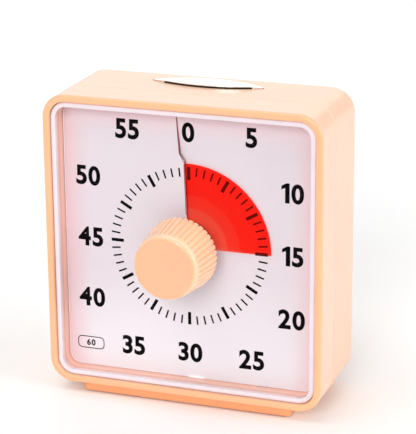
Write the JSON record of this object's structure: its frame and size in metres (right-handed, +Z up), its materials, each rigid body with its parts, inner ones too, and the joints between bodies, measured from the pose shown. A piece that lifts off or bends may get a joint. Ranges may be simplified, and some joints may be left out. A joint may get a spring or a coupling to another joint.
{
  "type": "visual countdown timer",
  "caption": "Desk countdown timer: a square case with a clear window, a red disc that slides through a slit dial, a fluted centre knob, an oval top button and a battery movement.",
  "frame": {"origin": "on the table, on the underside of the foot's pad, under the middle of the case's width and depth", "axes": "+Z up, +Y from the dial towards the back of the case, +X to the right as seen from the front"},
  "size_m": [0.08, 0.045, 0.0883],
  "materials": {
    "case_front": "fine satin",
    "case_rear": "fine satin",
    "lens_clear": "clear, polished",
    "dial_print": "smooth printed sheet",
    "carrier_white": "as moulded",
    "disc_red": "smooth translucent film",
    "knob_peach": "fine satin",
    "steel": "bright",
    "bushing_brass": "turned",
    "gear_plastic": "as moulded",
    "coil_copper": "enamelled copper wire",
    "movement_grey": "as moulded",
    "board_green": "solder mask",
    "component_black": "as moulded",
    "slider_white": "as moulded",
    "button_chrome": "bright plating",
    "battery_sleeve": "plain shrink sleeve",
    "lead_red": "insulated wire",
    "foot_orange": "fine satin",
    "pad_rubber": "matt"
  },
  "bodies": {
    "case": {"front_bezel": "case_front", "rear_housing": "case_rear", "lens": "lens_clear", "dial_sheet": "dial_print", "dial_carrier": "carrier_white", "front_bushing": "bushing_brass", "rear_bushing": "bushing_brass", "stator": "steel", "coil": "coil_copper", "movement_base": "movement_grey", "movement_cover": "movement_grey", "circuit_board": "board_green", "tact_switch": "component_black", "buzzer": "component_black", "switch_body": "component_black", "button_spring": "steel", "battery": "battery_sleeve", "contact_spring": "steel", "contact_plate": "steel", "battery_leads": "lead_red", "foot": "foot_orange", "foot_pad": "pad_rubber", "case_screws": "steel", "movement_screws": "steel", "board_screws": "steel"},
    "knob": {"knob": "knob_peach", "knob_shaft": "steel", "clutch_collar": "steel", "clutch_spring": "steel", "shaft_clip": "steel"},
    "disc": {"time_disc": "disc_red", "disc_hub": "carrier_white"},
    "clutch_gear": {"clutch_gear": "gear_plastic"},
    "second_wheel": {"second_wheel": "gear_plastic"},
    "rotor": {"rotor": "gear_plastic"},
    "button": {"top_button": "button_chrome"},
    "slider": {"volume_slider": "slider_white"},
    "door": {"battery_door": "case_rear"}
  },
  "joints": [
    {"name": "knob_turn", "type": "hinge", "parent": "case", "child": "knob", "pos_m": [0, 0, 0.045], "axis": [0, 1, 0], "range_deg": [-90, 270]},
    {"name": "disc_lift", "type": "slide", "parent": "knob", "child": "disc", "axis": [0, -1, 0], "range_m": [-0.00031, 0.00091]},
    {"name": "train_run", "type": "hinge", "parent": "case", "child": "clutch_gear", "pos_m": [0, 0, 0.045], "axis": [0, 1, 0], "continuous": true},
    {"name": "second_wheel_spin", "type": "hinge", "parent": "case", "child": "second_wheel", "pos_m": [-0.013, 0, 0.0512], "axis": [0, 1, 0], "continuous": true},
    {"name": "rotor_spin", "type": "hinge", "parent": "case", "child": "rotor", "pos_m": [-0.013, 0, 0.0392], "axis": [0, 1, 0], "continuous": true},
    {"name": "button_press", "type": "slide", "parent": "case", "child": "button", "axis": [0, 0, -1], "range_m": [0, 0.001], "stiffness_N_per_m": 400, "springref_m": -0.002, "deforming": ["button_spring"]},
    {"name": "volume_slide", "type": "slide", "parent": "case", "child": "slider", "axis": [1, 0, 0], "range_m": [-0.002, 0.002]},
    {"name": "door_swing", "type": "hinge", "parent": "case", "child": "door", "pos_m": [0, 0.01565, 0.0064], "axis": [-1, 0, 0], "range_deg": [0, 75]}
  ],
  "couplings": [
    {"joint": "disc_lift", "follows": "knob_turn", "m_per_rad": 0.00019099},
    {"joint": "second_wheel_spin", "follows": "train_run", "ratio": -5},
    {"joint": "rotor_spin", "follows": "train_run", "ratio": 20}
  ]
}
